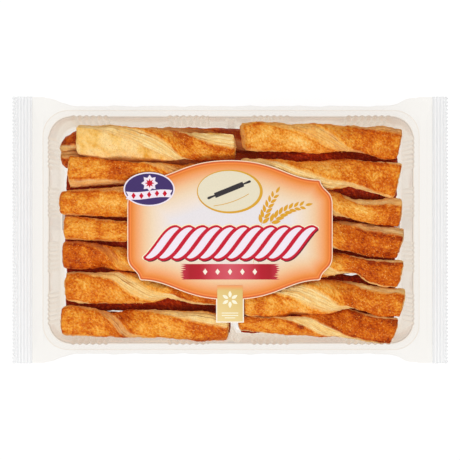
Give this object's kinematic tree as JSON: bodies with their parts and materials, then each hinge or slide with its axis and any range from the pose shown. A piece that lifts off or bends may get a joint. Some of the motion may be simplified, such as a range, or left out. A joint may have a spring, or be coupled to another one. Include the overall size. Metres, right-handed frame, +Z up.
{
  "type": "pack of puff pastry twists",
  "caption": "Flat sealed pack of puff pastry twists: clear film drawn round a shallow clear tray, crimped end seals, a printed panel on the top. Lies flat.",
  "frame": {"origin": "under the middle of the pack, on the surface that it lies on", "axes": "+X along the pack to its narrower end seal, +Y to the top edge of the print, +Z up through the printed side"},
  "size_m": [0.2936, 0.1796, 0.0281],
  "materials": {
    "film": "clear glossy packaging film over golden pastry",
    "print_panel": "orange rim fading to cream, printed on film",
    "print_badge": "violet print with a white rim",
    "print_tag": "pale gold print with a white rim",
    "tray": "clear thermoformed tray",
    "pastry": "baked sugared puff pastry, golden faces and pale layered edges"
  },
  "bodies": {
    "root": {"bag": "film", "panel": "print_panel", "badge": "print_badge", "tag": "print_tag"}
  },
  "joints": []
}
